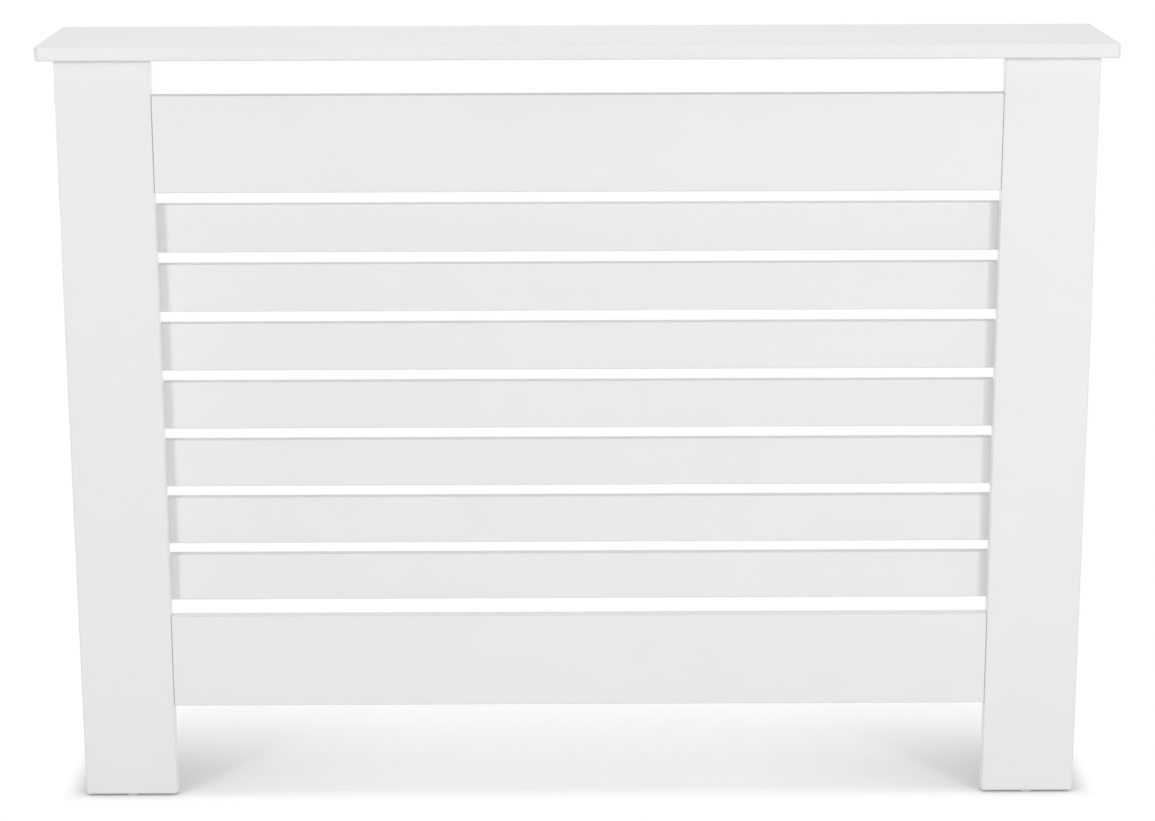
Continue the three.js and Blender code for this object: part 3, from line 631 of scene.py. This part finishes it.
@dataclass
class Dowels:
    """The fluted dowels of the front frame, of the posts and of the top."""

    shading: bpy.types.NodeTree
    edges: EdgeWork = EdgeWork(radius=0.08 * MM)

    def build(self) -> None:
        """Dresses each dowel with grain along its own length."""
        places = {GrainAxis.X: on_both_sides("dowel_top_rail_{side}_{place}", ("lower", "upper"))
                  + on_both_sides("dowel_bottom_rail_{side}_{place}", ("lower", "upper")),
                  GrainAxis.Y: on_both_sides("dowel_post_{side}_{place}", ("lower", "upper")),
                  GrainAxis.Z: on_both_sides("dowel_top_{side}_{place}", ("front", "rear"))}
        for axis, names in places.items():
            dress(names, Beech(axis).material(), Slot.BEECH, self.edges, self.shading)


@dataclass
class CamFittings:
    """The cast drums in the side panels and the bolts that they draw in."""

    casting: bpy.types.Material
    steel: bpy.types.Material
    shading: bpy.types.NodeTree
    drum_edges: EdgeWork = EdgeWork(radius=0.2 * MM)
    bolt_edges: EdgeWork = EdgeWork(radius=0.15 * MM)

    def build(self) -> None:
        """Dresses the drums and the bolts."""
        fixings = (on_both_sides("top_{side}_{place}", ("front", "rear"))
                   + on_both_sides("post_{side}_{place}", ("lower", "upper")))
        drums = [f"cam_{fixing}" for fixing in fixings]
        bolts = [f"cam_bolt_{fixing}" for fixing in fixings]
        dress(drums, self.casting, Slot.CASTING, self.drum_edges, self.shading)
        dress(bolts, self.steel, Slot.PLATED_STEEL, self.bolt_edges, self.shading)


@dataclass
class Glides:
    """The nylon glides under the posts and the side panels."""

    nylon: bpy.types.Material
    shading: bpy.types.NodeTree
    edges: EdgeWork = EdgeWork(radius=0.15 * MM)

    def build(self) -> None:
        """Dresses the glides."""
        names = on_both_sides("glide_{place}_{side}", ("front", "rear"))
        dress(names, self.nylon, Slot.NYLON, self.edges, self.shading)


@dataclass
class WallFixings:
    """The angle brackets at the wall and their screws."""

    steel: bpy.types.Material
    shading: bpy.types.NodeTree
    bracket_edges: EdgeWork = EdgeWork(radius=0.25 * MM)
    screw_edges: EdgeWork = EdgeWork(radius=0.12 * MM)

    def build(self) -> None:
        """Dresses the brackets and the screws."""
        dress(on_both_sides("wall_bracket_{side}"), self.steel, Slot.PLATED_STEEL, self.bracket_edges, self.shading)
        dress(on_both_sides("bracket_screw_{side}_{place}", ("1", "2")), self.steel, Slot.PLATED_STEEL,
              self.screw_edges, self.shading)


# ------------------------------------------------------------------ camera and studio

@dataclass
class PhotoCamera:
    """The camera at the photograph's place, with the lens shift of its framing."""

    place: Vector = field(default_factory=lambda: Vector((-0.0146, -3.1995, 1.1771)))
    yaw: float = -0.00421
    pitch: float = -0.26002
    roll: float = 0.00273
    image_width: float = 1155.0  # pixels
    focal_length: float = 3022.1  # pixels
    rise: float = 77.7  # pixels
    sensor: float = 36.0  # millimetres

    def build(self) -> None:
        """Makes the camera and gives it to the scene."""
        data = bpy.data.cameras.new("camera")
        data.sensor_width = self.sensor
        data.lens = self.sensor * self.focal_length / self.image_width
        data.shift_y = self.rise / self.image_width
        camera = bpy.data.objects.new("camera", data)
        bpy.context.scene.collection.objects.link(camera)
        turn = (Matrix.Rotation(self.yaw, 3, "Z") @ Matrix.Rotation(self.pitch, 3, "X")
                @ Matrix.Rotation(self.roll, 3, "Y"))
        right, ahead, up = turn.transposed()
        axes = Matrix((right, up, -ahead)).transposed()
        camera.matrix_world = Matrix.Translation(self.place) @ axes.to_4x4()
        bpy.context.scene.camera = camera


@dataclass(frozen=True)
class Softbox:
    """One large lamp. Its power is in watts and it looks at the middle of the cabinet."""

    name: str
    place: tuple[float, float, float]
    size: tuple[float, float]
    power: float
    target: tuple[float, float, float] = (0.0, 0.0, 0.42)

    def build(self) -> None:
        """Hangs the lamp."""
        data = bpy.data.lights.new(self.name, "AREA")
        data.shape = "RECTANGLE"
        data.size, data.size_y = self.size
        data.energy = self.power
        lamp = bpy.data.objects.new(self.name, data)
        bpy.context.scene.collection.objects.link(lamp)
        way = Vector(self.target) - Vector(self.place)
        lamp.matrix_world = Matrix.Translation(self.place) @ way.to_track_quat("-Z", "Y").to_matrix().to_4x4()


@dataclass
class Studio:
    """A plain white floor, a white surround and soft lamps.

    The floor keeps the cabinet's shadow under it and between its legs, cast by the lamps and deepened near the legs
    by painted shade, and is plain white all round. Each pair of distances says where the shadow's part starts to
    fade and where it has ended, from the middle of the cabinet to its ends, to the wall and to the room.
    """

    floor_half_width: float = 14.0
    floor_colour: str = "#eeeeee"  # what the lamps' light meets
    seen_colour: str = "#ffffff"  # what the camera sees
    pool_colour: str = "#a4a4a4"  # painted shade: the seen floor's colour in the corners at the legs, where light hardly reaches
    pool_reach: float = 0.35
    pool_samples: int = 16
    floor_lift: float = 0.20  # added where the camera sees the floor, so that it reads as white
    beside: tuple[float, float] = (0.5405, 0.57)
    behind: tuple[float, float] = (-0.02, 0.34)
    before: tuple[float, float] = (0.072, 0.10)
    ambient: float = 0.35
    lamps: tuple[Softbox, ...] = (
        Softbox("left_strip", (-2.0, -2.56, 1.35), (0.6, 0.9), 21.0),
        Softbox("left_high_softbox", (-2.5, -2.5, 2.2), (1.2, 1.2), 11.5),
        Softbox("right_strip", (2.0, -2.56, 1.35), (0.6, 0.9), 19.0),
        Softbox("right_front_softbox", (1.6, -2.56, 1.2), (1.2, 1.2), 8.2),
        Softbox("right_side_softbox", (3.2, -1.2, 1.4), (1.2, 1.2), 9.0),
        Softbox("top_softbox", (0.0, 0.0, 2.8), (2.0, 1.4), 17.5),
        Softbox("rear_softbox", (0.0, 2.3, 2.3), (2.0, 1.2), 3.0),
        Softbox("rear_left_softbox", (-2.0, 2.6, 0.45), (1.2, 0.8), 22.0),
        Softbox("rear_right_softbox", (2.0, 2.6, 0.45), (1.2, 0.8), 22.0),
    )

    def build(self) -> None:
        """Builds the studio."""
        bpy.context.scene.view_settings.view_transform = "Standard"
        self.lay_floor()
        self.light_surround()
        for lamp in self.lamps:
            lamp.build()

    def seen(self, tree: bpy.types.NodeTree) -> bpy.types.NodeSocket:
        """Finds the rays that show a surface to the camera, straight or through gloss or glass."""
        path = add_node(tree, "ShaderNodeLightPath").outputs
        direct = add_node(tree, "ShaderNodeMath", {0: path["Is Camera Ray"], 1: path["Is Glossy Ray"]},
                          operation="MAXIMUM")
        either = add_node(tree, "ShaderNodeMath", {0: direct.outputs[0], 1: path["Is Transmission Ray"]},
                          operation="MAXIMUM")
        return either.outputs[0]

    def away(self, tree: bpy.types.NodeTree, place: bpy.types.NodeSocket) -> bpy.types.NodeSocket:
        """Finds how far a point of the floor lies outside the cabinet's own shadow.

        Args:
            tree: The floor's tree.
            place: The floor's own coordinates.

        Returns:
            A socket that is 0 under the cabinet and grows to 1 all round it.
        """
        parts = add_node(tree, "ShaderNodeSeparateXYZ", {0: place})
        size = add_node(tree, "ShaderNodeMath", {0: parts.outputs["X"]}, operation="ABSOLUTE")
        ahead = add_node(tree, "ShaderNodeMath", {0: parts.outputs["Y"], 1: -1.0}, operation="MULTIPLY")
        shares = [add_node(tree, "ShaderNodeMapRange", {"Value": value, "From Min": reach[0], "From Max": reach[1]},
                           interpolation_type="SMOOTHSTEP").outputs["Result"]
                  for value, reach in ((size.outputs[0], self.beside), (parts.outputs["Y"], self.behind),
                                       (ahead.outputs[0], self.before))]
        lengthways = add_node(tree, "ShaderNodeMath", {0: shares[1], 1: shares[2]}, operation="MAXIMUM")
        return add_node(tree, "ShaderNodeMath", {0: shares[0], 1: lengthways.outputs[0]},
                        operation="MAXIMUM").outputs[0]

    def lay_floor(self) -> None:
        """Lays the floor, which is plain white away from the cabinet and keeps its shadow near it."""
        half = self.floor_half_width
        mesh = bpy.data.meshes.new("floor")
        mesh.from_pydata([(-half, -half, 0), (half, -half, 0), (half, half, 0), (-half, half, 0)], [],
                         [(0, 1, 2, 3)])
        floor = bpy.data.objects.new("floor", mesh)
        bpy.context.scene.collection.objects.link(floor)
        material, tree, coords = new_surface("studio_floor")
        painted = add_node(tree, "ShaderNodeBsdfDiffuse", {"Color": linear(self.floor_colour)})
        # Painted shade: where ambient occlusion finds the cabinet close, the seen floor's colour darkens toward the
        # grey of the corners at the legs, on top of the lamps' own shadow.
        open_share = add_node(tree, "ShaderNodeAmbientOcclusion", {"Distance": self.pool_reach},
                              samples=self.pool_samples)
        tone = add_node(tree, "ShaderNodeMix", {0: open_share.outputs["AO"], 6: linear(self.pool_colour),
                                                7: linear(self.seen_colour)}, data_type="RGBA")
        shaded = add_node(tree, "ShaderNodeBsdfDiffuse", {"Color": tone.outputs[2]})
        lift = add_node(tree, "ShaderNodeEmission", {"Color": tone.outputs[2], "Strength": self.floor_lift})
        white = add_node(tree, "ShaderNodeEmission", {"Strength": WHITE})
        near = add_node(tree, "ShaderNodeAddShader", {0: shaded.outputs[0], 1: lift.outputs[0]})
        shown = add_node(tree, "ShaderNodeMixShader", {0: self.away(tree, coords.outputs["Object"]),
                                                       1: near.outputs[0], 2: white.outputs[0]})
        surface = add_node(tree, "ShaderNodeMixShader", {0: self.seen(tree), 1: painted.outputs[0],
                                                         2: shown.outputs[0]})
        finish_surface(tree, surface.outputs[0])
        mesh.materials.append(material)

    def light_surround(self) -> None:
        """Makes the world a soft light that shows as plain white."""
        world = bpy.data.worlds.new("surround")
        bpy.context.scene.world = world
        world.use_nodes = True
        tree = world.node_tree
        tree.nodes.clear()
        soft = add_node(tree, "ShaderNodeBackground", {"Strength": self.ambient})
        white = add_node(tree, "ShaderNodeBackground", {"Strength": WHITE})
        for background in (soft, white):
            background.inputs["Color"].default_value = linear("#ffffff")
        both = add_node(tree, "ShaderNodeMixShader", {0: self.seen(tree), 1: soft.outputs[0], 2: white.outputs[0]})
        add_node(tree, "ShaderNodeOutputWorld", {"Surface": both.outputs[0]})


# ------------------------------------------------------------------ the whole scene

def clear_start_objects() -> None:
    """Removes the objects that a new file holds and that the frame didn't bring."""
    brought = set(frame["nodes"].values()) | set(frame["bodies"].values())
    for thing in list(bpy.data.objects):
        if thing not in brought:
            bpy.data.objects.remove(thing)


def main() -> None:
    """Builds the cabinet's sub-assemblies in order, and then the studio."""
    logging.basicConfig(level=logging.INFO, format="%(name)s: %(message)s")
    clear_start_objects()
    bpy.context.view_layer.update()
    PhotoCamera().build()
    shading = smooth_below_tree(EdgeWork.crisp_above)
    lacquer = WhiteLacquer().material()
    casting = CAST_ZINC.material()
    steel = PLATED_STEEL.material()
    nylon = WhiteNylon().material()
    assemblies = (Carcass(lacquer, shading), Grille(lacquer, steel, shading), Dowels(shading),
                  CamFittings(casting, steel, shading), Glides(nylon, shading), WallFixings(steel, shading))
    for assembly in assemblies:
        assembly.build()
    Studio().build()


if __name__ == "__main__":
    main()
